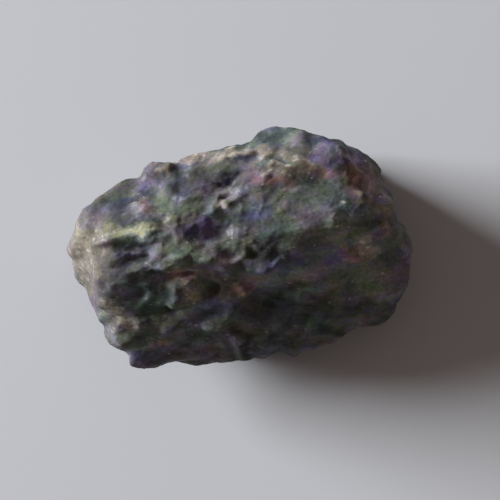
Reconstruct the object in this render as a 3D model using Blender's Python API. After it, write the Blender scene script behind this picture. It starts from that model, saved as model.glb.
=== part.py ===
"""Rough iolite: one walnut-sized lump of violet-grey cordierite, as it was broken out of its rock.

One solid, in metres, +Z up. The stone lies on its broadest break: its origin is the middle of its footprint,
on the surface that it rests on, and its length runs along X. Sizes below are millimetres.
"""

from math import cos, floor, hypot, radians, sin

import bmesh
import bpy
from mathutils import Vector, noise

MM = 0.001

# The lump's rough proportions, and its heart, which every break is measured from.
LENGTH = 40.0
DEPTH = 28.0
HEIGHT = 19.0
HEART = Vector((0.0, 0.0, 9.0))

# Each break is one flat face of the lump: the bearing that it looks along (0 is +X, 90 is +Y) and how far
# up it looks, in degrees, and its distance from the heart.
BREAKS = {
    "bed": (0, -90, 9.5),
    "crown": (325, 85, 9.2),
    "crown_left": (120, 60, 10.5),
    "brow": (255, 80, 7.6),
    "front": (270, 43, 7.2),
    "front_left": (205, 15, 17.7),
    "low_left": (221, 5, 17.3),
    "front_foot": (270, 5, 12.2),
    "left_end": (160, 0, 20.1),
    "left_brow": (195, 50, 15.0),
    "back_left": (135, -5, 15.3),
    "back": (105, 0, 12.4),
    "back_right": (70, 10, 16.7),
    "right_back": (20, 0, 19.8),
    "right_end": (340, 10, 19.8),
    "front_right": (295, 45, 8.0),
    "shoulder": (15, 40, 16.9),
    "keel_left": (215, -35, 19.2),
    "keel_right": (330, -35, 17.2),
    "keel_front_left": (230, -45, 13.0),
    "keel_front": (290, -40, 12.2),
    "keel_back": (95, -45, 17.0),
}
ARRIS_SHARPNESS = 30

# The rock's layers: which way they are stacked, seen square on to the show side (left, up and out towards the
# eye), how thick they are, and how far one stands out past the next.
LAYER_LEFT = 0.2
LAYER_UP = 0.9
LAYER_OUT = 0.4
LAYER_THICKNESS = 2.3
LAYER_STEP = 0.8
LAYER_WAVE = 9.0
STEP_LENGTH = 7.0

# Its broken grains, coarse and fine: how wide they are, and how far their tilted faces stand out. A grain is
# longer along the stone, its worn edge is a share of its width, and each pattern starts at its own place.
COARSE_GRAIN = 3.8
COARSE_RISE = 0.8
FINE_GRAIN = 2.0
FINE_RISE = 0.4
GRAIN_LENGTHENING = 0.75
GRAIN_EDGE = 0.22
SEED_SHIFT = Vector((1.0, 2.0, 3.0))
LUMP_SIZE = 5.0
LUMP_RISE = 0.5

# The calm slope of the show side, where the grain lies flatter: right, up, half length, half width, slant.
CALM_SLOPE = (5.5, 4.0, 12.0, 8.0, 8)
CALM = 0.3

# Relief that is placed on one side of the lump, as that side is seen square on: how far right and up from
# its heart, half its length, half its width, its slant in degrees, and how far it stands out (or lies in,
# where that is negative). Its edges wander a little.
SHOW_SIDE = (270, 78)
WANDER = 0.5
WANDER_LENGTH = 3.5
LEDGES = {
    "cream_ledge": (0.4, 10.9, 4.6, 1.1, 12, 0.8),
    "upper_shelf": (-14.0, 5.1, 4.0, 2.0, 18, 0.6),
    "green_ledge": (-13.6, 2.1, 4.8, 0.9, 2, 1.0),
    "grey_shelf": (-5.8, -0.1, 4.6, 1.6, 5, 1.0),
    "olive_apron": (6.6, 4.9, 5.4, 3.0, 6, 0.5),
}
KNOBS = {
    "back_knob": (-9.2, 9.6, 2.3, 1.3, 10, 0.9),
    "tan_ridge": (-5.6, 9.6, 1.9, 0.8, 10, 0.3),
    "peak": (6.8, 13.6, 2.2, 1.4, 10, 0.8),
    "dome": (12.0, 11.6, 3.0, 1.6, -35, 1.1),
    "back_rise": (-1.0, 12.2, 2.8, 1.6, 10, 0.5),
    "cream_bump": (-2.9, 5.0, 1.2, 0.6, 10, 0.9),
    "lilac_ridge": (-0.9, 6.6, 2.9, 0.7, 32, 0.5),
    "lilac_bump": (-11.2, -1.7, 1.1, 0.7, 0, 0.9),
    "brown_knob": (-7.3, -3.6, 1.2, 0.9, 20, 0.7),
    "brown_bump": (-2.1, -2.2, 1.5, 0.8, 10, 0.7),
    "pale_lump": (0.0, 1.3, 2.2, 1.5, 0, 0.4),
    "pink_lump": (-8.2, -8.9, 1.7, 1.0, 15, 0.8),
    "grey_rib": (-3.0, -8.3, 2.4, 1.5, 20, 0.9),
    "crust_left": (-16.0, -7.5, 0.9, 0.7, 0, 0.3),
    "crust_right": (-14.1, -8.0, 0.9, 0.7, 0, 0.7),
    "foot": (-11.5, -12.3, 3.2, 2.2, 20, 3.2),
    "rust_lump": (13.9, 6.4, 2.0, 1.3, -25, 0.8),
    "right_swell": (12.4, -0.7, 2.9, 1.7, 10, 0.7),
    "lilac_swell": (3.4, -1.5, 2.2, 1.1, 10, 0.6),
    "back_left_swell": (-14.0, 7.7, 5.5, 3.0, 30, 0.5),
    "low_left_swell": (-13.8, -11.2, 6.5, 3.0, -50, 1.1),
    "left_end_swell": (-17.6, -6.2, 2.6, 2.0, -50, 0.9),
    "low_front_swell": (4.0, -12.8, 2.5, 1.5, 0, 0.6),
}
HOLLOWS = {
    "olive_lens": (-1.8, 9.2, 2.9, 0.6, 8, -0.8),
    "violet_trough": (-1.8, 7.8, 3.3, 0.8, 12, -0.6),
    "violet_hollow": (-3.8, 2.5, 3.0, 1.5, 0, -1.1),
    "left_recess": (-13.2, -0.2, 2.6, 0.8, -3, -0.9),
    "undercut": (-8.8, -2.6, 4.0, 0.7, 10, -0.9),
    "front_pit": (-3.9, -4.3, 1.7, 1.4, 0, -1.2),
    "left_pit": (-12.7, -4.8, 1.9, 1.1, 5, -1.0),
    "green_pit": (-9.4, -6.9, 3.1, 1.2, 5, -1.2),
    "black_hollow": (2.7, -6.8, 5.0, 2.6, 18, -2.0),
    "low_pit": (-6.6, -9.8, 1.3, 0.8, 0, -0.8),
    "right_trough": (10.0, -4.8, 3.1, 1.2, 10, -0.9),
    "right_shoulder": (18.0, 7.0, 5.0, 2.6, -65, -0.4),
    "shoulder_pit": (14.8, 4.6, 1.2, 0.7, 0, -0.9),
    "dark_lens": (5.2, 10.5, 2.7, 0.7, -4, -0.4),
    "apron_trough": (9.6, 1.7, 3.0, 0.9, 5, -0.5),
    "low_front_dip": (7.6, -12.4, 1.8, 1.5, 0, -0.7),
}

# How finely the skin is worked out, how far its thin edges are worn, how near the ground it lies flat on it,
# and how many triangles describe the finished stone.
SPHERE_SUBDIVISIONS = 7
FINENESS = 0.3
WEAR = 2
BED_TOLERANCE = 0.2
TRIANGLES = 9000

STONE_COLOUR = (0.085, 0.083, 0.095, 1.0)
STONE_ROUGHNESS = 0.6


def bearing(azimuth, pitch):
    """The unit vector along a compass bearing and an upward pitch, both in degrees."""
    a = radians(azimuth)
    p = radians(pitch)
    return Vector((cos(a) * cos(p), sin(a) * cos(p), sin(p)))


FACES = [(bearing(azimuth, pitch), distance) for azimuth, pitch, distance in BREAKS.values()]
SHOW = bearing(*SHOW_SIDE)
SHOW_RIGHT = Vector((0.0, 0.0, 1.0)).cross(SHOW).normalized()
SHOW_UP = SHOW.cross(SHOW_RIGHT)
# Which way the rock's layers are stacked.
LAYERS = (LAYER_LEFT * -SHOW_RIGHT + LAYER_UP * SHOW_UP + LAYER_OUT * SHOW).normalized()


def smooth(low, high, value):
    """0 below low, 1 above high, and an S curve between."""
    t = min(max((value - low) / (high - low), 0.0), 1.0)
    return t * t * (3.0 - 2.0 * t)


def reach(direction):
    """How far the block reaches from its heart: the breaks' nearest planes, with their arrises worn round."""
    total = 0.0
    for normal, distance in FACES:
        facing = normal.dot(direction)
        if facing > 0.0:
            total += (facing / distance) ** ARRIS_SHARPNESS
    return total ** (-1.0 / ARRIS_SHARPNESS)


def layer_steps(point):
    """The ends of the layers: each stands a little proud of or behind the next one."""
    height = LAYERS.dot(point)
    level = height / LAYER_THICKNESS + 0.9 * noise.noise(point / LAYER_WAVE)
    layer = floor(level)
    along = (point - LAYERS * height) / STEP_LENGTH
    here = noise.noise(along + LAYERS * 3.7 * layer)
    above = noise.noise(along + LAYERS * 3.7 * (layer + 1))
    return LAYER_STEP * (here + (above - here) * smooth(0.7, 1.0, level - layer))


def crystals(point, size, height, seed):
    """Grains broken across: flat little faces, each tilted its own way, meeting along narrow worn edges."""
    q = Vector((point.x * GRAIN_LENGTHENING, point.y, point.z)) / size + seed * SEED_SHIFT
    distances, cells = noise.voronoi(q)
    share = 0.5 + 0.5 * smooth(0.0, GRAIN_EDGE, distances[1] - distances[0])
    return height * (share * grain_face(q, cells[0]) + (1.0 - share) * grain_face(q, cells[1]))


def grain_face(q, cell):
    """The tilted face of one grain."""
    tilt = noise.cell_vector(cell * 13.7) - Vector((0.5, 0.5, 0.5))
    return tilt.dot(q - cell) * 1.6 + (noise.cell(cell * 7.3) - 0.5) * 0.7


def on_show_side(point):
    """Where a point lies on the show side, in millimetres right and up, let to wander a little."""
    place = point / WANDER_LENGTH
    across = SHOW_RIGHT.dot(point - HEART) + WANDER * noise.noise(place)
    up = SHOW_UP.dot(point - HEART) + WANDER * noise.noise(place + SEED_SHIFT)
    return across, up


def within(patch, across, up):
    """The point along and across a slanted patch: 1 at its ends and sides."""
    x, y, half_length, half_width, slant = patch
    c = cos(radians(slant))
    s = sin(radians(slant))
    return (c * (across - x) + s * (up - y)) / half_length, (c * (up - y) - s * (across - x)) / half_width


def relief(across, up):
    """The named ledges, knobs and hollows of the show side."""
    out = 0.0
    for table, profile in ((LEDGES, ledge), (KNOBS, swell), (HOLLOWS, swell)):
        for *patch, rise in table.values():
            u, v = within(patch, across, up)
            if abs(u) < 1.0 and abs(v) < 1.0:
                out += rise * profile(u, v)
    return out


def swell(u, v):
    """A rounded knob or pit: full over its middle, none past its rim."""
    return 1.0 - smooth(0.25, 1.0, hypot(u, v))


def ledge(u, v):
    """A shelf that climbs gently outwards to its lip, and drops off steeply below it."""
    ends = 1.0 - smooth(0.6, 1.0, abs(u))
    slope = 1.0 - smooth(-0.7, 1.0, v)
    lip = smooth(-1.0, -0.72, v)
    return ends * slope * lip


def surface_point(direction):
    """The stone's surface along one direction from its heart, cut flat where it lies on the ground."""
    face = HEART + direction * reach(direction)
    facing = smooth(-0.45, -0.15, direction.dot(SHOW))
    across, up = on_show_side(face)
    u, v = within(CALM_SLOPE, across, up)
    grain = 1.0 - (1.0 - CALM) * swell(u, v) * facing
    out = facing * relief(across, up) + LUMP_RISE * noise.noise(face / LUMP_SIZE) + layer_steps(face) * grain
    out += crystals(face, COARSE_GRAIN, COARSE_RISE * grain, 1.0)
    out += crystals(face, FINE_GRAIN, FINE_RISE * grain, 4.0)
    point = face + direction * out
    if point.z < 0.0:
        point = HEART - direction * (HEART.z / direction.z)
    return point


def lump():
    """The whole stone as a closed skin about its heart."""
    bm = bmesh.new()
    bmesh.ops.create_icosphere(bm, subdivisions=SPHERE_SUBDIVISIONS, radius=1.0)
    for vert in bm.verts:
        stretched = Vector((vert.co.x * LENGTH, vert.co.y * DEPTH, vert.co.z * HEIGHT))
        vert.co = surface_point(stretched.normalized())
    mesh = bpy.data.meshes.new("lump")
    bm.to_mesh(mesh)
    bm.free()
    return mesh


def even_skin(rough):
    """The lump's mesh with its skin made even, its thinnest edges worn, and its bed level."""
    even = rough.modifiers.new("even", "REMESH")
    even.mode = "VOXEL"
    even.voxel_size = FINENESS
    wear = rough.modifiers.new("wear", "SMOOTH")
    wear.factor = 0.5
    wear.iterations = WEAR
    mesh = evaluated_mesh(rough)
    for vert in mesh.vertices:
        if vert.co.z < BED_TOLERANCE:
            vert.co.z = 0.0
    return mesh


def thinned(fine):
    """The same stone in about TRIANGLES triangles, kept where its form needs them."""
    thin = fine.modifiers.new("thin", "DECIMATE")
    thin.ratio = TRIANGLES / sum(len(face.vertices) - 2 for face in fine.data.polygons)
    return evaluated_mesh(fine)


def evaluated_mesh(obj):
    """A mesh of the object with its modifiers applied."""
    graph = bpy.context.evaluated_depsgraph_get()
    return bpy.data.meshes.new_from_object(obj.evaluated_get(graph))


def settle(mesh):
    """Turns the mesh to metres, with its bed on the ground and the middle of its footprint at the origin."""
    bm = bmesh.new()
    bm.from_mesh(mesh)
    for vert in bm.verts:
        if vert.co.z < BED_TOLERANCE:
            vert.co.z = 0.0
    xs = [vert.co.x for vert in bm.verts]
    ys = [vert.co.y for vert in bm.verts]
    middle = Vector(((min(xs) + max(xs)) / 2.0, (min(ys) + max(ys)) / 2.0, 0.0))
    bmesh.ops.translate(bm, vec=-middle, verts=bm.verts)
    bmesh.ops.scale(bm, vec=(MM, MM, MM), verts=bm.verts)
    bmesh.ops.triangulate(bm, faces=bm.faces)
    bm.to_mesh(mesh)
    bm.free()


def stone_material():
    material = bpy.data.materials.new("stone")
    material.use_nodes = True
    shader = material.node_tree.nodes["Principled BSDF"]
    shader.inputs["Base Color"].default_value = STONE_COLOUR
    shader.inputs["Roughness"].default_value = STONE_ROUGHNESS
    return material


def new_object(name, mesh):
    obj = bpy.data.objects.new(name, mesh)
    bpy.context.scene.collection.objects.link(obj)
    return obj


def build_stone():
    rough = new_object("rough", lump())
    fine = new_object("fine", even_skin(rough))
    stone = new_object("stone", thinned(fine))
    settle(stone.data)
    stone.data.materials.append(stone_material())
    for helper in (rough, fine):
        bpy.data.objects.remove(helper)


def main():
    for obj in list(bpy.data.objects):
        bpy.data.objects.remove(obj)
    build_stone()


main()
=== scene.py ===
"""The looks of one rough iolite: its broken, layered skin, its grains and stains, and the light on it.

The stone is one piece, made round the solid of its model. Lengths are metres, apart from places and sizes
on the stone, the width of the view, and the camera's lens and sensor, which are millimetres. A place on its
show side is seen square on to that side: how far right and up from its heart.
"""

from math import cos, floor, radians, sin

import bmesh
import bpy
import numpy as np
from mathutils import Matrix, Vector, noise


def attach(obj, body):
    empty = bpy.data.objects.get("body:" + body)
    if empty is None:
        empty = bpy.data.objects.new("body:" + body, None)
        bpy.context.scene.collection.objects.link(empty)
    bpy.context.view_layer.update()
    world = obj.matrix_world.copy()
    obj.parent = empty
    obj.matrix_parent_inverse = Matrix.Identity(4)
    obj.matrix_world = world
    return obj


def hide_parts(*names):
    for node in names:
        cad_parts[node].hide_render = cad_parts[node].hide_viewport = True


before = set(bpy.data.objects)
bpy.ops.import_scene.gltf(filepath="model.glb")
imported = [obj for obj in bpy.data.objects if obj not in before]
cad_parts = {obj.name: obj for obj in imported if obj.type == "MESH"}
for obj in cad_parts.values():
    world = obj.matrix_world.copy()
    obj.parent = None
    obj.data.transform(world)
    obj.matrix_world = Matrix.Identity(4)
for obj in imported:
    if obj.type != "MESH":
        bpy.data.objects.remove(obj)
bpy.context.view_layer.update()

MM = 0.001

# The show side's elevation above the horizon, and the stone's heart, which its places are measured from.
SHOW_ELEVATION = 78.0
HEART = Vector((0.0, 0.0, 9.0))
SHOW = Vector((0.0, -cos(radians(SHOW_ELEVATION)), sin(radians(SHOW_ELEVATION))))
SHOW_RIGHT = Vector((1.0, 0.0, 0.0))
SHOW_UP = SHOW.cross(SHOW_RIGHT)

# Which way the rock's layers are stacked, seen square on to the show side: left, up, and out of it.
LAYER_LEFT = 0.2
LAYER_UP = 0.9
LAYER_OUT = 0.4
LAYERS = (LAYER_LEFT * -SHOW_RIGHT + LAYER_UP * SHOW_UP + LAYER_OUT * SHOW).normalized()

# The camera looks square on to the show side, at a point a little right of and below the heart. The picture
# takes in VIEW_WIDTH at the heart's distance.
VIEW_WIDTH = 59.4
LENS = 135.0
SENSOR = 36.0
CLIP_START = 0.001
AIM_RIGHT = 1.2
AIM_UP = -0.4
CAMERA_DISTANCE = VIEW_WIDTH / SENSOR * LENS

# The light is one broad window, low on the left and a little behind. The room fills its shadows weakly and
# warmly.
WINDOW_AZIMUTH = 163.0
WINDOW_ELEVATION = 14.5
WINDOW_DISTANCE = 1.5
WINDOW_WIDTH = 0.78
WINDOW_HEIGHT = 0.46
WINDOW_POWER = 74.0
WINDOW_COLOUR = (0.97, 0.98, 1.0)
ROOM_COLOUR = (1.0, 0.79, 0.71)
ROOM_STRENGTH = 0.15
FLOOR_COLOUR = (0.55, 0.57, 0.60)
FLOOR_ROUGHNESS = 1.0
FLOOR_SHINE = 0.1
FLOOR_SIZE = 2.0

# The skin: how close two corners are when they are joined, its fineness, over how many rounds it is softened
# before it is carved, and how high above the ground the carving starts.
WELD_DISTANCE = 0.01
VOXEL = 0.21
SOFTENING = 4
CARVED_FROM = 0.05
# Its broken grains, of three sizes: width, rise, and where each pattern starts.
GRAINS = ((2.8, 0.08, 1.0), (1.4, 0.046, 5.0), (0.7, 0.03, 9.0))
# Every grain is flattened along the layers. Its worn edge is a share of its width, its face is tilted, and
# it stands out or in by some of its rise.
GRAIN_FLATNESS = 1.2
GRAIN_EDGE = 0.09
GRAIN_TILT = 1.8
GRAIN_OFFSET = 0.6
# Its thin layers: how thick they are, how far one stands out past the next, and how long their ends are.
# The step to the next layer starts at a share of the thickness.
THIN_LAYER = 0.9
THIN_STEP = 0.055
THIN_LENGTH = 2.6
THIN_STEP_START = 0.55
# They wave by a share of their thickness, over some distance, and show only in patches with soft edges.
THIN_WAVE = 0.8
THIN_WAVE_LENGTH = 4.0
THIN_PATCH = 5.0
THIN_PATCH_EDGE = 0.25
# Its pits: how far apart they may be, and how deep. As shares of that spacing, the largest radius and the
# smallest that is made. As a share of its radius, how far a pit's floor reaches.
PIT_SPACING = 1.9
PIT_DEPTH = 0.065
PIT_LARGEST = 0.55
PIT_SMALLEST = 0.3
PIT_FLOOR = 0.3
# Its grit: how wide and how high.
GRIT_SIZE = 0.3
GRIT_RISE = 0.03
# The left end is broken roughly. Towards the right it is more worn: how much of the relief is left there,
# where the wear starts, and where it is full.
WORN_RELIEF = 0.5
WORN_START = -2.0
WORN_END = 9.0
# The rind at the far left is smoother again.
RIND_RELIEF = 0.35
RIND_START = -8.0
RIND_END = -17.0
# The sides that look away are rougher. The way from the heart to a point is compared with the show side's
# by its cosine: from SHOWN_TO up, a point is on the show side, and from AWAY_FROM down, it looks away.
BACK_RELIEF = 3.0
SHOWN_TO = 0.0
AWAY_FROM = -0.35
# How far the outlines of lumps and patches wander, and over what distance.
WANDER = 0.9
WANDER_LENGTH = 1.8
# Each pattern of chance starts at its own place, a number of these shifts away.
SEED_SHIFT = Vector((1.0, 2.0, 3.0))
WANDER_RIGHT_SEED = 2.0
WANDER_UP_SEED = 3.0
THIN_SEED = 4.0
PIT_SEED = 11.0
SCATTER_SEED = 20.0
TONE_SEED = 30.0
# What a grain's or a pit's middle is multiplied by before it draws its own number, and how far apart two
# layers look for the shape of their ends.
TILT_STRIDE = 13.7
OFFSET_STRIDE = 7.3
PIT_STRIDE = 5.9
LAYER_STRIDE = 3.7
# Small lumps, ledges and dents on the show side: right, up, half length, half width, slant and rise.
LUMPS = (
    (-0.8, -1.8, 1.6, 1.0, 12, 0.39), (-6.0, -3.7, 1.7, 1.0, 12, 0.39), (-12.6, -1.0, 1.6, 0.8, 8, 0.31),
    (-4.0, 1.0, 1.2, 0.8, 12, 0.23), (-1.6, 4.0, 1.2, 1.0, 25, 0.35), (13.2, 3.1, 2.4, 1.2, 15, 0.39),
    (17.4, 5.0, 1.8, 1.2, -35, 0.39), (-4.9, -6.6, 1.6, 1.1, 15, 0.35), (-1.2, -8.6, 1.5, 1.0, 10, 0.31),
    (-12.2, -9.6, 1.1, 0.9, 0, 0.27), (-4.6, -11.2, 1.8, 1.0, 8, 0.31), (9.0, -4.9, 2.2, 1.1, 12, 0.31),
    (-10.2, 1.3, 2.2, 0.9, 8, 0.31), (17.4, -5.4, 1.8, 1.4, 0, 0.31), (1.8, 0.3, 1.0, 0.8, 10, 0.27),
    (-6.4, 6.4, 1.8, 1.4, 15, -0.44), (4.4, -1.2, 1.9, 0.9, 28, -0.30), (-7.0, -6.0, 1.5, 1.1, 10, -0.27),
    (-11.6, -3.4, 1.6, 0.9, 10, -0.23), (6.6, -7.6, 1.5, 2.0, -20, -0.23), (-0.8, -5.0, 1.6, 0.9, 10, -0.23),
    (-1.2, 10.6, 3.4, 0.5, 14, 0.23), (3.2, 11.4, 3.0, 0.5, 3, 0.23), (3.8, 9.3, 2.8, 0.5, 3, 0.23),
    (-1.4, 6.3, 3.2, 0.5, 31, 0.27), (-8.8, 9.7, 2.4, 0.5, 20, 0.20), (4.6, 10.4, 2.6, 0.5, 0, -0.20),
    (-2.6, 9.6, 2.6, 0.5, 14, -0.14),
)


def smooth(low, high, value):
    """0 at low, 1 at high, and an S curve between, for an array. High may be the lower of the two."""
    t = np.clip((value - low) / (high - low), 0.0, 1.0)
    return t * t * (3.0 - 2.0 * t)


def ease(low, high, value):
    """The same S curve for one number, which is quicker in a loop."""
    t = min(max((value - low) / (high - low), 0.0), 1.0)
    return t * t * (3.0 - 2.0 * t)


# ---------------------------------------------------------------- the skin's shape


def evaluated_mesh(obj):
    """A mesh of the object with its modifiers applied."""
    graph = bpy.context.evaluated_depsgraph_get()
    return bpy.data.meshes.new_from_object(obj.evaluated_get(graph))


def even_skin(node):
    """The solid's own skin, divided evenly and finely, with the edges of its facets softened."""
    bm = bmesh.new()
    bm.from_mesh(node.data)
    bmesh.ops.remove_doubles(bm, verts=bm.verts, dist=WELD_DISTANCE * MM)
    mesh = bpy.data.meshes.new("rough_skin")
    bm.to_mesh(mesh)
    bm.free()
    skin = bpy.data.objects.new("rough_skin", mesh)
    bpy.context.scene.collection.objects.link(skin)
    even = skin.modifiers.new("even", "REMESH")
    even.mode = "VOXEL"
    even.voxel_size = VOXEL * MM
    soften = skin.modifiers.new("soften", "SMOOTH")
    soften.factor = 0.5
    soften.iterations = SOFTENING
    fine = evaluated_mesh(skin)
    bpy.data.objects.remove(skin)
    return fine


def grain(point, width, rise, seed):
    """Broken grains, flattened along the layers: little faces, each tilted its own way."""
    q = (point + LAYERS * (GRAIN_FLATNESS * LAYERS.dot(point))) / width + seed * SEED_SHIFT
    distances, cells = noise.voronoi(q)
    share = 0.5 + 0.5 * ease(0.0, GRAIN_EDGE, distances[1] - distances[0])
    return rise * (share * grain_face(q, cells[0]) + (1.0 - share) * grain_face(q, cells[1]))


def grain_face(q, cell):
    """How far the tilted face of one grain stands out, as a share of its rise."""
    tilt = noise.cell_vector(cell * TILT_STRIDE) - Vector((0.5, 0.5, 0.5))
    offset = noise.cell(cell * OFFSET_STRIDE) - 0.5
    return tilt.dot(q - cell) * GRAIN_TILT + offset * GRAIN_OFFSET


def thin_layers(point):
    """The fine ends of the layers, where they show."""
    height = LAYERS.dot(point)
    level = height / THIN_LAYER + THIN_WAVE * noise.noise(point / THIN_WAVE_LENGTH)
    layer = floor(level)
    along = (point - LAYERS * height) / THIN_LENGTH
    here = noise.noise(along + LAYERS * LAYER_STRIDE * layer)
    above = noise.noise(along + LAYERS * LAYER_STRIDE * (layer + 1))
    patches = noise.noise(point / THIN_PATCH + THIN_SEED * SEED_SHIFT)
    showing = ease(-THIN_PATCH_EDGE, THIN_PATCH_EDGE, patches)
    return THIN_STEP * showing * (here + (above - here) * ease(THIN_STEP_START, 1.0, level - layer))


def pits(point):
    """Small deep pits where grains have dropped out."""
    q = point / PIT_SPACING + PIT_SEED * SEED_SHIFT
    distances, cells = noise.voronoi(q)
    radius = PIT_LARGEST * noise.cell(cells[0] * PIT_STRIDE)
    if radius < PIT_SMALLEST:
        return 0.0
    return -PIT_DEPTH * (1.0 - ease(PIT_FLOOR * radius, radius, distances[0]))


def carving(point, shown):
    """How far the skin stands out at a point, in millimetres. It is worn only where it is shown."""
    out = sum(grain(point, width, rise, seed) for width, rise, seed in GRAINS)
    out += thin_layers(point) + pits(point)
    out *= 1.0 - shown * (1.0 - WORN_RELIEF) * ease(WORN_START, WORN_END, point.x)
    out *= 1.0 - shown * (1.0 - RIND_RELIEF) * ease(RIND_START, RIND_END, point.x)
    out *= 1.0 + (1.0 - shown) * (BACK_RELIEF - 1.0)
    return out + GRIT_RISE * noise.noise(point / GRIT_SIZE)


def seen_place(points):
    """Where the camera sees each point, right and up, in millimetres at the heart's distance."""
    from_heart = points - np.array(HEART)
    scale = CAMERA_DISTANCE / (CAMERA_DISTANCE - from_heart @ np.array(SHOW))
    right = AIM_RIGHT + (from_heart @ np.array(SHOW_RIGHT) - AIM_RIGHT) * scale
    up = AIM_UP + (from_heart @ np.array(SHOW_UP) - AIM_UP) * scale
    return right, up


def noise_at(points, size, seed):
    """Soft noise of about -1 to 1 at each point, with features of the given size."""
    shift = seed * SEED_SHIFT
    return np.array([noise.noise(Vector(point) / size + shift) for point in points])


def wandering_place(points):
    """The same place, moved about a little so that whatever lies there has a ragged outline."""
    right, up = seen_place(points)
    right += WANDER * noise_at(points, WANDER_LENGTH, WANDER_RIGHT_SEED)
    up += WANDER * noise_at(points, WANDER_LENGTH, WANDER_UP_SEED)
    return right, up


def shown_share(points):
    """1 on the show side, 0 on the sides that look away from it."""
    outward = points - np.array(HEART)
    outward /= np.linalg.norm(outward, axis=1)[:, None]
    return smooth(AWAY_FROM, SHOWN_TO, outward @ np.array(SHOW))


def inside(patch, right, up):
    """How far along and across a slanted patch each point is, where 1 is the patch's rim."""
    x, y, half_length, half_width, slant = patch
    c = cos(radians(slant))
    s = sin(radians(slant))
    along = (c * (right - x) + s * (up - y)) / half_length
    across = (c * (up - y) - s * (right - x)) / half_width
    return along, across


def lumps_at(points):
    """How far the small lumps of the show side rise at each point."""
    right, up = wandering_place(points)
    rise = np.zeros(len(points))
    for *lump, height in LUMPS:
        along, across = inside(lump, right, up)
        rise += height * np.exp(-(along**2 + across**2))
    return rise * shown_share(points)


def carve(mesh):
    """Moves the skin along its normals, and keeps it above the ground."""
    bm = bmesh.new()
    bm.from_mesh(mesh)
    bm.normal_update()
    places = [(vert, vert.co / MM, vert.normal.copy()) for vert in bm.verts]
    points = np.array([point[:] for _, point, _ in places])
    for (vert, point, normal), shown, lump in zip(places, shown_share(points), lumps_at(points)):
        if point.z > CARVED_FROM:
            vert.co = (point + normal * (carving(point, shown) + lump)) * MM
            vert.co.z = max(vert.co.z, 0.0)
    bm.to_mesh(mesh)
    bm.free()


# ---------------------------------------------------------------- where each finish lies


def points_of(mesh):
    """The skin's points in millimetres, and its normals."""
    points = np.empty(len(mesh.vertices) * 3)
    mesh.vertices.foreach_get("co", points)
    normals = np.empty(len(mesh.vertices) * 3)
    mesh.vertex_normals.foreach_get("vector", normals)
    return points.reshape(-1, 3) / MM, normals.reshape(-1, 3)


def standing_out(mesh, points, normals, rounds):
    """How far each point stands out of its surroundings (or lies in them), in millimetres.

    In each round of evening out the surroundings, a point moves halfway to its neighbours' middle.
    """
    edges = np.empty(len(mesh.edges) * 2, np.int64)
    mesh.edges.foreach_get("vertices", edges)
    a, b = edges.reshape(-1, 2).T
    count = len(points)
    neighbours = np.bincount(a, minlength=count) + np.bincount(b, minlength=count)
    level = points.copy()
    for _ in range(rounds):
        for axis in range(3):
            column = level[:, axis]
            total = np.bincount(a, column[b], count) + np.bincount(b, column[a], count)
            level[:, axis] = 0.5 * column + 0.5 * total / neighbours
    return ((points - level) * normals).sum(axis=1)


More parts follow.
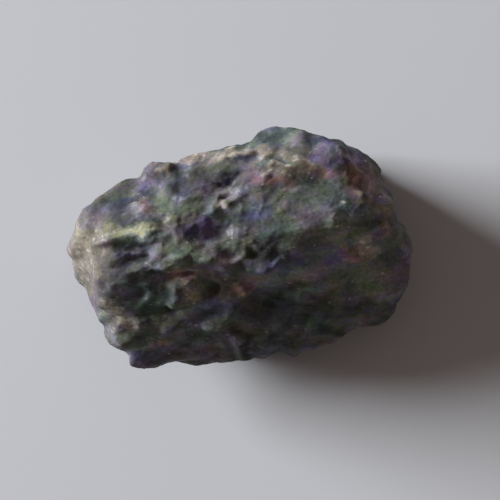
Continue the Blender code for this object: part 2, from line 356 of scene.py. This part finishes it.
# Patches of each finish on the show side: right, up, half length, half width, slant in degrees.
PATCHES = {
    "rind": (
        (-18.2, -1.0, 3.2, 4.6, 0), (-17.6, -4.6, 1.2, 1.6, 0), (-15.4, -7.4, 1.6, 1.2, -35),
        (-13.4, -8.9, 1.2, 1.0, -45), (-5.4, 10.7, 2.6, 0.8, 12), (-1.6, 10.9, 2.2, 0.7, 15),
        (2.0, 11.3, 2.8, 0.6, 3), (6.4, 10.6, 2.2, 0.5, -12), (4.2, 9.5, 2.6, 0.4, 3),
        (-2.2, 4.9, 1.0, 0.7, 10), (-8.6, 9.6, 1.8, 0.5, 20), (15.2, 0.0, 1.9, 1.4, -20),
        (-6.6, -5.0, 0.9, 1.6, 0),
    ),
    "yellow": (
        (-15.8, 1.8, 3.6, 0.7, 2), (-11.4, 2.1, 2.6, 0.8, 6), (-8.4, 3.4, 1.4, 0.8, 10),
        (-14.6, -8.0, 1.4, 0.8, -40), (-18.4, 2.0, 1.2, 0.7, 0), (-5.6, -5.8, 0.9, 0.8, 0),
    ),
    "olive": (
        (6.6, 5.6, 4.4, 2.4, 10), (-7.0, 0.2, 2.6, 1.4, 10), (-2.2, 9.5, 2.6, 0.6, 8),
        (5.2, 11.3, 2.4, 0.6, -4), (-14.0, 6.6, 2.2, 1.2, 30), (12.5, 2.2, 3.6, 1.4, 10),
        (-10.6, 5.9, 1.6, 0.9, 20),
    ),
    "violet": (
        (-3.0, 7.7, 4.2, 1.5, 14), (-4.0, 1.9, 3.2, 2.0, 0), (-12.6, -0.4, 3.2, 1.2, 5),
        (10.4, 11.4, 3.6, 2.0, -25), (2.6, 4.4, 2.6, 1.3, 20), (-10.9, -13.3, 2.8, 1.1, 0),
        (-14.6, 4.6, 2.0, 1.8, 20), (13.4, 10.8, 2.0, 0.9, -35), (-7.6, 6.8, 2.6, 1.8, 0),
        (5.6, -1.8, 3.2, 1.2, 15), (-3.0, -7.2, 3.0, 1.2, 10), (11.2, -1.4, 2.0, 1.0, 10),
        (-10.6, 6.9, 2.2, 1.0, 20),
    ),
    "rust": (
        (14.2, 7.4, 3.6, 2.4, -30), (4.4, 8.4, 4.2, 1.5, 5), (9.4, 8.8, 3.0, 1.2, -10),
        (13.8, -0.8, 2.6, 1.4, 0), (-6.8, -3.4, 1.6, 1.0, 0), (-9.6, -11.6, 1.4, 0.8, 20),
        (-11.4, 4.6, 1.4, 0.8, 0), (17.2, 3.2, 1.4, 2.0, 0), (-6.8, 10.8, 2.4, 0.7, 15),
        (0.6, -4.6, 2.4, 1.0, 15),
    ),
    "lilac": (
        (-0.2, 1.9, 1.4, 1.2, 0), (-13.0, -0.4, 1.0, 0.5, 0), (-10.8, -2.0, 0.8, 0.5, 0),
        (-0.9, 6.6, 2.8, 0.5, 30), (3.7, -1.2, 1.0, 0.5, 30), (6.0, 3.6, 0.5, 0.4, 0),
        (7.4, 2.4, 0.5, 0.4, 0), (2.2, 10.9, 0.5, 0.4, 0), (-12.6, 4.2, 1.6, 0.8, 20),
        (-9.4, 3.6, 1.2, 0.6, 20), (-14.0, -12.0, 2.4, 0.6, -52), (-1.6, -1.3, 1.1, 0.6, 0),
        (-2.0, 4.7, 0.7, 0.5, 0), (12.4, 11.0, 1.6, 0.5, -30),
    ),
    "green": (
        (-12.4, -5.0, 2.0, 1.2, 0), (-9.6, -6.7, 2.4, 1.4, 5), (-10.6, -7.6, 1.6, 1.0, 0),
        (3.0, -6.9, 4.4, 2.2, 18), (9.6, -8.6, 3.0, 2.4, 10), (9.0, -4.8, 2.4, 1.4, 10),
        (-4.9, -1.1, 1.6, 0.9, 10), (-4.4, -11.0, 3.4, 1.2, 5), (16.2, -4.2, 2.2, 1.8, 0),
        (4.6, 1.6, 2.6, 1.0, 10), (-10.5, 10.8, 1.4, 0.8, 20), (10.6, 1.6, 1.8, 0.9, 10),
    ),
}
# Broad lighter and darker parts of the rock, mostly painted light and painted shade: right, up, half length,
# half width, slant, and how bright.
TONES_AND_PAINTED_LIGHT = (
    # Painted light: the right flank is lighter all over, most of all along its crests.
    (13.5, -1.5, 8.5, 8.5, 0, 2.0), (12.2, 3.6, 2.2, 1.1, 15, 1.9), (16.5, 6.0, 2.6, 1.6, -45, 3.0),
    (14.2, 10.3, 3.4, 1.4, -38, 2.4), (13.2, 9.4, 1.2, 2.2, 0, 1.3), (9.6, 9.6, 1.6, 2.2, 0, 1.9),
    (16.4, -5.2, 2.6, 1.9, 0, 1.5), (12.4, 0.4, 2.6, 1.6, 0, 1.3), (8.0, -4.2, 2.0, 1.4, 0, 1.5),
    (12.8, -4.6, 2.6, 1.0, 5, 1.25), (6.2, -0.8, 1.6, 0.9, 0, 1.3),
    # Painted light on the crests of the top and of the middle.
    (5.6, 8.6, 1.2, 2.2, -30, 1.25), (3.6, 7.6, 1.2, 1.2, 0, 1.3), (0.2, 11.2, 2.8, 0.8, 12, 1.4),
    (-3.0, 6.6, 2.2, 0.8, 15, 1.4), (-2.3, 4.1, 1.2, 1.4, 0, 2.3), (-4.6, 1.5, 1.8, 1.1, 20, 1.8),
    (-6.2, 0.2, 1.0, 1.8, 20, 1.6), (-1.9, -1.5, 1.7, 1.2, 0, 2.3), (1.4, 0.2, 1.2, 1.0, 0, 1.7),
    (4.0, 13.5, 1.4, 0.8, 0, 1.5),
    # Painted light on the left end's rind, ledges and crust.
    (-18.8, -0.2, 1.1, 2.8, 0, 1.35), (-12.2, 1.4, 3.4, 1.4, 8, 1.85), (-13.4, -0.8, 2.0, 1.0, 0, 1.9),
    (-13.6, 0.9, 1.5, 0.7, 0, 1.4), (-14.6, -4.9, 1.6, 0.9, 0, 1.8), (-13.7, -8.8, 1.0, 1.6, 0, 1.5),
    (-9.2, -12.0, 2.4, 0.9, 20, 1.8),
    # Painted light on the lumps of the front.
    (-7.0, -6.5, 6.5, 4.5, 15, 1.12), (-6.6, -3.2, 2.0, 1.2, 0, 1.85), (-5.8, -6.2, 2.2, 2.0, 10, 1.75),
    (-3.0, -7.0, 1.8, 1.0, 15, 1.7), (0.9, -9.4, 1.6, 1.2, 0, 2.1), (-1.6, -8.6, 1.1, 0.9, 0, 1.4),
    (-5.6, -10.8, 2.2, 1.5, 20, 1.5), (4.0, -4.0, 4.8, 1.6, 15, 1.9), (6.8, -7.6, 1.1, 1.7, 0, 1.5),
    # Painted shade: the left end's far side, which faces the light, is darker all over.
    (-18.0, -1.5, 4.5, 9.0, 0, 0.74), (-14.0, 5.5, 4.0, 4.0, 0, 0.85),
    # Painted shade in the hollows of the top and of the middle.
    (-7.2, 6.9, 3.4, 2.3, 0, 0.30), (-4.0, 8.6, 3.0, 1.3, 15, 0.34), (-0.2, 7.7, 2.2, 1.3, 10, 0.30),
    (-1.7, 1.6, 1.8, 1.8, 0, 0.30), (2.8, -1.2, 3.0, 1.4, 25, 0.38), (13.1, 6.4, 1.9, 1.4, 0, 0.34),
    (8.4, 3.1, 2.2, 1.4, 0, 0.50), (3.0, 2.6, 2.8, 1.1, 0, 0.62), (6.2, 11.2, 2.0, 0.7, -10, 0.50),
    (0.4, 12.6, 3.2, 0.8, 12, 0.33), (-8.3, 3.0, 0.8, 1.4, 0, 0.65), (-3.8, -0.3, 1.0, 1.1, 0, 0.65),
    # Painted shade in the hollows of the left end.
    (-14.8, 4.2, 1.6, 2.2, 0, 0.55), (-12.0, 8.4, 2.6, 1.2, 30, 0.6), (-16.0, 5.6, 4.0, 2.4, 35, 0.75),
    (-16.2, -2.2, 1.5, 2.8, 0, 0.5), (-12.2, -3.4, 2.0, 1.1, 0, 0.65), (-17.4, -5.4, 1.8, 2.0, 0, 0.65),
    (-15.2, -9.0, 1.2, 1.1, 0, 0.5),
    # Painted shade in the hollows of the front.
    (-8.4, -5.6, 1.6, 1.7, 0, 0.50), (-12.3, -7.8, 1.6, 1.2, 0, 0.5), (-14.2, -12.6, 3.0, 0.9, -50, 0.50),
    (-3.7, -8.8, 1.5, 1.0, 0, 0.5), (-2.2, -4.8, 2.2, 1.2, 0, 0.75), (5.0, -7.4, 2.0, 2.8, -20, 0.42),
    (-0.3, -11.7, 2.2, 2.1, 0, 0.28), (-0.4, -12.8, 1.6, 0.9, 0, 0.55), (9.4, -7.6, 1.6, 2.0, -20, 0.5),
    (12.6, -7.4, 3.2, 1.6, -5, 0.5),
)
# How a patch fades, where 1 is its rim: how far out it is still full, and where it has gone. A part of
# painted light or painted shade fades more softly than a finish.
FINISH_FADE = (0.30, 1.35)
TONE_FADE = (0.15, 1.35)
# How bright the rock is on the sides that look away, how much that wanders, and over what distance.
BACK_TONE = 0.78
TONE_WANDER = 0.36
TONE_LENGTH = 5.0
# How a finish is scattered on those sides, where no patches are placed: how big its patches are and how
# rare, how much of it shows in them, and how soft their edges are.
SCATTER = {
    "rind": (5.0, 0.20), "yellow": (4.0, 0.28), "olive": (6.0, 0.05), "violet": (4.5, 0.08),
    "rust": (5.0, 0.18), "lilac": (3.0, 0.25), "green": (6.5, 0.0),
}
SCATTER_SHARE = 0.45
SCATTER_EDGE = 0.25
# What is read off the skin's own shape: over how many rounds its surroundings are evened out, and how far
# it stands out of them (or lies in them, where that is negative) where the share is full.
# The crevice and hollow shares give the painted shade of crevices and hollows, and the edge share gives pale
# worn edges.
STANDING = {"edge": (6, 0.16), "crevice_shade": (10, -0.22), "hollow_shade": (120, -0.9)}


def patch_share(patch, right, up, fade):
    """1 in the middle of a slanted patch, 0 where it has faded away."""
    full, gone = fade
    return 1.0 - smooth(full, gone, np.hypot(*inside(patch, right, up)))


def finish_shares(points, right, up, shown):
    """How much of each finish lies at each point: the show side's patches, and scattered ones elsewhere."""
    shares = {}
    for number, (finish, patches) in enumerate(PATCHES.items()):
        placed = np.max([patch_share(patch, right, up, FINISH_FADE) for patch in patches], axis=0)
        size, rarity = SCATTER[finish]
        scattered = smooth(rarity, rarity + SCATTER_EDGE, noise_at(points, size, SCATTER_SEED + number))
        shares[finish] = shown * placed + (1.0 - shown) * SCATTER_SHARE * scattered
    return shares


def rock_tone_and_painted_light(points, right, up, shown):
    """How bright the rock is painted at each point, its tone with painted light and painted shade: 1 is its
    own colour, and 2 is twice as bright.
    """
    tone = shown + (1.0 - shown) * (BACK_TONE + TONE_WANDER * noise_at(points, TONE_LENGTH, TONE_SEED))
    for *patch, brightness in TONES_AND_PAINTED_LIGHT:
        tone *= 1.0 + (brightness - 1.0) * shown * patch_share(patch, right, up, TONE_FADE)
    return tone


def paint(mesh):
    """Stores what the material reads: each finish, the rock's tone with its painted light and painted shade,
    and how far each point stands out.
    """
    points, normals = points_of(mesh)
    right, up = wandering_place(points)
    shown = shown_share(points)
    values = finish_shares(points, right, up, shown)
    values["tone"] = rock_tone_and_painted_light(points, right, up, shown)
    for name, (rounds, full) in STANDING.items():
        values[name] = smooth(0.0, full, standing_out(mesh, points, normals, rounds))
    for name, value in values.items():
        stored = mesh.attributes.new(name, "FLOAT", "POINT")
        stored.data.foreach_set("value", value.astype(np.float32))


# ---------------------------------------------------------------- the material


class Nodes:
    """Builds one material's nodes, with a line for each."""

    # Which of the Mix node's sockets are its two colours and the mixed one.
    COLOUR_UNDER = 6
    COLOUR_OVER = 7
    COLOUR_MIXED = 2

    def __init__(self, name):
        self.material = bpy.data.materials.new(name)
        self.material.use_nodes = True
        self.tree = self.material.node_tree
        self.shader = self.tree.nodes["Principled BSDF"]

    def add(self, kind, inputs=None, **settings):
        """A new node, with its inputs and its settings."""
        node = self.tree.nodes.new(kind)
        for key, value in settings.items():
            setattr(node, key, value)
        for key, value in (inputs or {}).items():
            self.feed(node.inputs[key], value)
        return node

    def feed(self, socket, value):
        """Gives a socket another node's output, or else a plain value."""
        if isinstance(value, bpy.types.NodeSocket):
            self.tree.links.new(value, socket)
        else:
            socket.default_value = value

    def share(self, name):
        """A stored share of the skin, such as a finish."""
        return self.add("ShaderNodeAttribute", attribute_name=name).outputs["Fac"]

    def maths(self, operation, a, b, clamp=True):
        """One operation on two numbers. Its result is kept between 0 and 1 unless clamp is off."""
        return self.add("ShaderNodeMath", {0: a, 1: b}, operation=operation, use_clamp=clamp).outputs[0]

    def step(self, value, low, high):
        """0 at low, 1 at high and past it, and an S curve between. High may be the lower one."""
        inputs = {"Value": value, "From Min": low, "From Max": high}
        return self.add("ShaderNodeMapRange", inputs, interpolation_type="SMOOTHSTEP").outputs["Result"]

    def weighed(self, *terms):
        """The sum of values, each times its weight: (value, weight) pairs."""
        total, *others = [self.maths("MULTIPLY", value, weight, clamp=False) for value, weight in terms]
        for other in others:
            total = self.maths("ADD", total, other, clamp=False)
        return total

    def blend(self, share, under, over, kind="MIX"):
        """One colour laid over another, as far as share says."""
        node = self.add("ShaderNodeMix", data_type="RGBA", blend_type=kind)
        self.feed(node.inputs["Factor"], share)
        self.feed(node.inputs[self.COLOUR_UNDER], under)
        self.feed(node.inputs[self.COLOUR_OVER], over)
        return node.outputs[self.COLOUR_MIXED]

    def cover(self, under, over, share, strength):
        """One colour laid over another where share is 1, and only as far as strength says."""
        return self.blend(self.maths("MULTIPLY", share, strength), under, over)

    def tint(self, under, tint):
        """A colour multiplied by another one."""
        return self.blend(1.0, under, tint, "MULTIPLY")

    def blend_number(self, share, under, over):
        return self.add("ShaderNodeMix", {"Factor": share, "A": under, "B": over}).outputs[0]

    def clouds(self, place, scale, detail=4.0, roughness=0.6, distortion=0.0):
        inputs = {"Vector": place, "Scale": scale, "Detail": detail, "Roughness": roughness}
        inputs["Distortion"] = distortion
        return self.add("ShaderNodeTexNoise", inputs).outputs["Fac"]

    def cells(self, place, scale, **settings):
        return self.add("ShaderNodeTexVoronoi", {"Vector": place, "Scale": scale}, **settings)

    def chances(self, cells):
        """Three numbers for each cell, from 0 to 1 by chance."""
        split = self.add("ShaderNodeSeparateColor", {"Color": cells.outputs["Color"]})
        return split.outputs["Red"], split.outputs["Green"], split.outputs["Blue"]

    def ramp(self, value, *stops):
        """A run of colours: (where, colour) pairs."""
        node = self.add("ShaderNodeValToRGB", {"Fac": value})
        elements = node.color_ramp.elements
        while len(elements) < len(stops):
            elements.new(1.0)
        for element, (position, tone) in zip(elements, stops):
            element.position = position
            element.color = colour(tone)
        return node.outputs["Color"]


BLACK_GREEN = (0.024, 0.033, 0.031)
DARK_GREEN = (0.046, 0.060, 0.054)
GREY_GREEN = (0.082, 0.092, 0.077)
VIOLET_GREY = (0.100, 0.089, 0.110)
PALE_GREY = (0.155, 0.150, 0.152)
INDIGO = (0.036, 0.033, 0.078)
BLUE_VIOLET = (0.075, 0.068, 0.148)
LILAC = (0.22, 0.21, 0.25)
CREAM = (0.235, 0.205, 0.165)
TAN = (0.160, 0.130, 0.100)
YELLOW_GREEN = (0.270, 0.265, 0.138)
OLIVE = (0.125, 0.124, 0.086)
WHITE = (0.48, 0.47, 0.47)
CRUMB = (0.36, 0.34, 0.32)
# The rock's own run of colours, from its darkest clouds to its palest, and where each one lies in them.
MOTTLE = (
    (0.30, BLACK_GREEN), (0.40, DARK_GREEN), (0.50, GREY_GREEN), (0.58, VIOLET_GREY), (0.72, PALE_GREY),
)
# Its colour wanders slowly from pink to green, and from olive to violet.
GREEN_TINT = (0.92, 1.05, 0.97)
PINK_TINT = (1.12, 0.96, 1.00)
VIOLET_TINT = (0.97, 0.94, 1.17)
OLIVE_TINT = (1.05, 1.05, 0.84)
# The stains, which tint it more strongly.
GREEN_STAIN = (0.88, 1.08, 0.97)
OLIVE_STAIN = (1.05, 1.07, 0.84)
VIOLET_STAIN = (0.85, 0.81, 1.36)
RUST_STAIN = (1.36, 0.90, 0.82)
# The material's patterns lie along the rock's layers and are drawn out along them: how much of the show
# side's slope they take, how far they turn in degrees, and how many of their units make a millimetre.
PATTERN_LEAN = 0.6
PATTERN_TURN = -12.0
ALONG_LAYERS = 0.75
ACROSS_LAYERS = 1.25
# How far the edges of the broken grains are moved about, in the pattern's units, so that they are ragged.
RAGGEDNESS = 0.9
# The skin's refractive index and shine, and the strength and depth (in millimetres) of its finest relief.
REFRACTION = 1.54
SHINE = 0.35
BUMP_STRENGTH = 0.34
BUMP_DEPTH = 0.10
# What that relief is made of: its grit, its little faces, and the height of each grain.
GRIT_WEIGHT = 0.7
FACES_WEIGHT = 0.6
GRAIN_WEIGHT = 0.15
# How far a finish reaches before its edge breaks up, how strongly crumbs cover a crust, how glossy violet
# rock is, and how dull the dull finishes are.
FINISH_REACH = 0.62
CRUMB_STRENGTH = 0.7
VIOLET_GLOSS = 0.6
CRUST_DULLNESS = 0.8


def colour(rgb):
    return (*rgb, 1.0)


def grey(brightness):
    return (brightness, brightness, brightness)


def stone_material():
    n = Nodes("rough_iolite")
    place = n.add("ShaderNodeTexCoord").outputs["Object"]
    turn = (radians(SHOW_ELEVATION - 90.0) * PATTERN_LEAN, radians(PATTERN_TURN), 0.0)
    turned = n.add("ShaderNodeMapping", {"Vector": place, "Rotation": turn}).outputs[0]
    spread = (ALONG_LAYERS / MM, ACROSS_LAYERS / MM, ACROSS_LAYERS / MM)
    layered = n.add("ShaderNodeMapping", {"Vector": turned, "Scale": spread}).outputs[0]
    even_spread = (1.0 / MM, 1.0 / MM, 1.0 / MM)
    turned_in_mm = n.add("ShaderNodeMapping", {"Vector": turned, "Scale": even_spread}).outputs[0]
    wander = n.add("ShaderNodeTexNoise", {"Vector": layered, "Scale": 1.7, "Detail": 5.0}).outputs["Color"]
    amount = (RAGGEDNESS, RAGGEDNESS, RAGGEDNESS)
    moved = n.add("ShaderNodeVectorMath", {0: wander, 1: amount, 2: layered}, operation="MULTIPLY_ADD")
    broken = moved.outputs["Vector"]
    ragged = n.clouds(layered, scale=1.1, detail=8.0, roughness=0.7)
    black_green = colour(BLACK_GREEN)
    pale_grey = colour(PALE_GREY)

    # The rock itself: dark green and violet-grey, mottled along its layers, and broken into grains.
    mottle = n.clouds(layered, scale=0.32, detail=6.0, roughness=0.58, distortion=0.4)
    rock = n.ramp(mottle, *MOTTLE)
    greener = n.step(n.clouds(layered, scale=0.26, roughness=0.55, distortion=0.5), low=0.40, high=0.60)
    rock = n.tint(rock, n.blend(greener, colour(PINK_TINT), colour(GREEN_TINT)))
    bluer = n.step(n.clouds(turned_in_mm, scale=0.33, roughness=0.55, distortion=0.5), low=0.40, high=0.60)
    rock = n.tint(rock, n.blend(bluer, colour(OLIVE_TINT), colour(VIOLET_TINT)))
    dark_chance, glass_chance, grain_height = n.chances(n.cells(broken, scale=0.85))
    rock = n.cover(rock, black_green, n.step(dark_chance, low=0.70, high=0.90), strength=0.35)
    glassy = n.step(glass_chance, low=0.78, high=0.90)
    glass = n.blend(n.clouds(layered, scale=1.6), colour(INDIGO), colour(BLUE_VIOLET))
    rock = n.cover(rock, glass, glassy, strength=0.5)

    # Stains tint the rock and crusts cover it, both with ragged edges.
    uneven = n.maths("SUBTRACT", ragged, 0.5, clamp=False)
    shades = n.clouds(layered, scale=0.6, detail=6.0, roughness=0.65)
    shading = n.ramp(shades, (0.34, grey(0.68)), (0.66, grey(1.3)))

    def coverage(finish, raggedness, strength):
        reach = n.weighed((n.share(finish), FINISH_REACH), (uneven, raggedness))
        return n.maths("MULTIPLY", n.step(reach, low=0.08, high=0.62), strength)

    def stain(under, finish, tint):
        return n.blend(coverage(finish, raggedness=0.8, strength=1.0), under, n.tint(under, colour(tint)))

    def crust_over(under, finish, dark, pale, strength):
        over = n.tint(n.blend(ragged, colour(dark), colour(pale)), shading)
        return n.blend(coverage(finish, raggedness=1.2, strength=strength), under, over)

    rock = stain(rock, "green", GREEN_STAIN)
    rock = stain(rock, "olive", OLIVE_STAIN)
    rock = stain(rock, "violet", VIOLET_STAIN)
    rock = stain(rock, "rust", RUST_STAIN)
    rock = crust_over(rock, "yellow", OLIVE, YELLOW_GREEN, strength=0.65)
    rock = crust_over(rock, "rind", TAN, CREAM, strength=0.75)
    rock = crust_over(rock, "lilac", LILAC, LILAC, strength=0.55)

    # Crumbs lie in the crusts, and pale flecks in patches of their own. A fine grain, bright sparks and dark
    # specks lie everywhere.
    crust = n.maths("MAXIMUM", n.share("rind"), n.maths("MAXIMUM", n.share("lilac"), n.share("yellow")))
    crumbs = n.cells(broken, scale=1.5)
    crumb_chance, _, _ = n.chances(crumbs)
    crumb_middle = n.step(crumbs.outputs["Distance"], low=0.55, high=0.2)
    crumb = n.maths("MULTIPLY", n.step(crumb_chance, low=0.74, high=0.84), crumb_middle)
    rock = n.cover(rock, colour(CRUMB), crumb, strength=n.maths("MULTIPLY", crust, CRUMB_STRENGTH))
    fine_clouds = n.clouds(turned_in_mm, scale=2.8, roughness=0.75)
    rock = n.tint(rock, n.ramp(fine_clouds, (0.36, grey(0.78)), (0.64, grey(1.22))))
    flecks = n.cells(broken, scale=2.3)
    fleck_chance, spark_chance, speck_chance = n.chances(flecks)
    fleck_patches = n.step(n.clouds(layered, scale=0.5), low=0.42, high=0.62)
    fleck = n.maths("MULTIPLY", n.step(fleck_chance, low=0.84, high=0.94), fleck_patches)
    rock = n.cover(rock, pale_grey, fleck, strength=0.4)
    spark_middle = n.step(flecks.outputs["Distance"], low=0.42, high=0.15)
    spark = n.maths("MULTIPLY", n.step(spark_chance, low=0.965, high=0.975), spark_middle)
    rock = n.cover(rock, colour(WHITE), spark, strength=0.4)
    rock = n.cover(rock, black_green, n.step(speck_chance, low=0.80, high=0.92), strength=0.3)

    # The rock is lighter in some parts than in others: its tone wanders on the sides that look away, and
    # painted light and painted shade lie on the show side.
    rock = n.tint(rock, n.share("tone"))

    # Painted shade darkens the crevices and hollows, and worn edges are pale.
    rock = n.cover(rock, black_green, n.share("crevice_shade"), strength=0.25)
    rock = n.cover(rock, black_green, n.share("hollow_shade"), strength=0.20)
    worn = n.maths("MULTIPLY", n.share("edge"), n.step(ragged, low=0.40, high=0.62))
    rock = n.cover(rock, pale_grey, worn, strength=0.25)
    n.feed(n.shader.inputs["Base Color"], rock)

    # Glassy grains and violet rock shine softly. The rind, the yellow crust and rust are dull.
    dull = n.maths("MAXIMUM", n.share("rind"), n.maths("MAXIMUM", n.share("yellow"), n.share("rust")))
    gloss = n.maths("MAXIMUM", glassy, n.maths("MULTIPLY", n.share("violet"), VIOLET_GLOSS))
    rock_roughness = n.blend_number(ragged, under=0.74, over=0.95)
    roughness = n.blend_number(gloss, rock_roughness, over=0.58)
    roughness = n.blend_number(n.maths("MULTIPLY", dull, CRUST_DULLNESS), roughness, over=0.92)
    roughness = n.blend_number(spark, roughness, over=0.40)
    n.feed(n.shader.inputs["Roughness"], roughness)
    n.shader.inputs["IOR"].default_value = REFRACTION
    n.shader.inputs["Specular IOR Level"].default_value = SHINE

    # The finest relief: grit, little faces, and the height of each grain.
    faces = n.cells(layered, scale=2.3, feature="SMOOTH_F1").outputs["Distance"]
    grit = n.clouds(layered, scale=3.2, detail=8.0, roughness=0.7)
    relief = n.weighed((grit, GRIT_WEIGHT), (faces, FACES_WEIGHT), (grain_height, GRAIN_WEIGHT))
    inputs = {"Height": relief, "Strength": BUMP_STRENGTH, "Distance": BUMP_DEPTH * MM}
    n.feed(n.shader.inputs["Normal"], n.add("ShaderNodeBump", inputs).outputs["Normal"])
    return n.material


def make_stone():
    mesh = even_skin(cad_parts["stone"])
    carve(mesh)
    paint(mesh)
    mesh.name = "rough_stone"
    stone = bpy.data.objects.new("rough_stone", mesh)
    bpy.context.scene.collection.objects.link(stone)
    mesh.materials.append(stone_material())
    mesh.shade_smooth()
    return stone


# ---------------------------------------------------------------- the floor, the light and the camera


def make_floor():
    bm = bmesh.new()
    bmesh.ops.create_grid(bm, x_segments=1, y_segments=1, size=FLOOR_SIZE / 2.0)
    mesh = bpy.data.meshes.new("floor")
    bm.to_mesh(mesh)
    bm.free()
    floor_object = bpy.data.objects.new("floor", mesh)
    bpy.context.scene.collection.objects.link(floor_object)
    n = Nodes("pale_paper")
    n.shader.inputs["Base Color"].default_value = colour(FLOOR_COLOUR)
    n.shader.inputs["Roughness"].default_value = FLOOR_ROUGHNESS
    n.shader.inputs["Specular IOR Level"].default_value = FLOOR_SHINE
    mesh.materials.append(n.material)


def direction(azimuth, elevation):
    """The unit vector towards an azimuth and an elevation, both in degrees."""
    a = radians(azimuth)
    e = radians(elevation)
    return Vector((cos(a) * cos(e), sin(a) * cos(e), sin(e)))


def make_window():
    light = bpy.data.lights.new("window", "AREA")
    light.shape = "RECTANGLE"
    light.size = WINDOW_WIDTH
    light.size_y = WINDOW_HEIGHT
    light.energy = WINDOW_POWER
    light.color = WINDOW_COLOUR
    window = bpy.data.objects.new("window", light)
    bpy.context.scene.collection.objects.link(window)
    towards = direction(WINDOW_AZIMUTH, WINDOW_ELEVATION)
    window.location = towards * WINDOW_DISTANCE
    window.rotation_euler = towards.to_track_quat("Z", "Y").to_euler()


def make_room():
    world = bpy.data.worlds.new("room")
    bpy.context.scene.world = world
    world.use_nodes = True
    background = world.node_tree.nodes["Background"]
    background.inputs["Color"].default_value = colour(ROOM_COLOUR)
    background.inputs["Strength"].default_value = ROOM_STRENGTH


def make_camera():
    lens = bpy.data.cameras.new("camera")
    lens.lens = LENS
    lens.sensor_width = SENSOR
    lens.clip_start = CLIP_START
    camera = bpy.data.objects.new("camera", lens)
    bpy.context.scene.collection.objects.link(camera)
    aim = HEART + AIM_RIGHT * SHOW_RIGHT + AIM_UP * SHOW_UP
    camera.location = (aim + SHOW * CAMERA_DISTANCE) * MM
    camera.rotation_euler = SHOW.to_track_quat("Z", "Y").to_euler()
    bpy.context.scene.camera = camera


bpy.context.scene.view_settings.view_transform = "Standard"
make_camera()
make_window()
make_room()
make_floor()
rough_stone = make_stone()
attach(rough_stone, "root")
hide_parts("stone")
